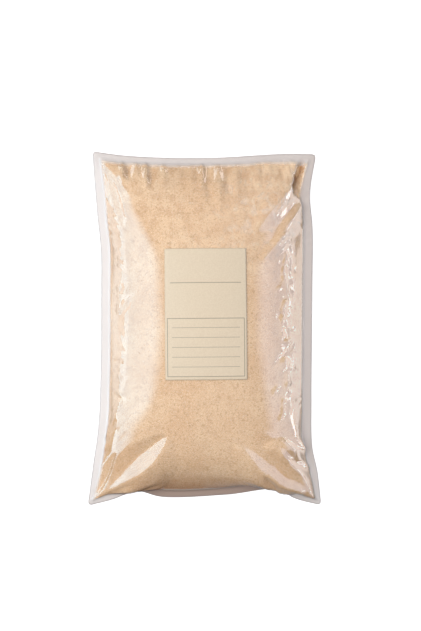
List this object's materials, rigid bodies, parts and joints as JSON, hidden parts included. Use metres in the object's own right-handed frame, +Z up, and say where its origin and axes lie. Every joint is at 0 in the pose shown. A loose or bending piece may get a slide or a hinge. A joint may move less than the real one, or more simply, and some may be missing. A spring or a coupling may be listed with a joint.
{
  "type": "clear pouch of ground celeriac root",
  "caption": "Flat clear film pouch, heat sealed on all four sides and filled with ground celeriac root, lying on its back with a paper label on its front.",
  "frame": {"origin": "on the surface that the pouch lies on, under the middle of its bounding box", "axes": "+X across the pouch to the right as its front is read, +Y along it towards its top end, +Z up, out of its front"},
  "size_m": [0.1969, 0.2978, 0.0564],
  "materials": {
    "film": "clear heat-sealed film, glossy",
    "powder": "fine cream-tan vegetable powder, matt",
    "label": "uncoated cream paper"
  },
  "bodies": {
    "root": {"film_front": "film", "film_back": "film", "powder": "powder", "label": "label"}
  },
  "joints": []
}
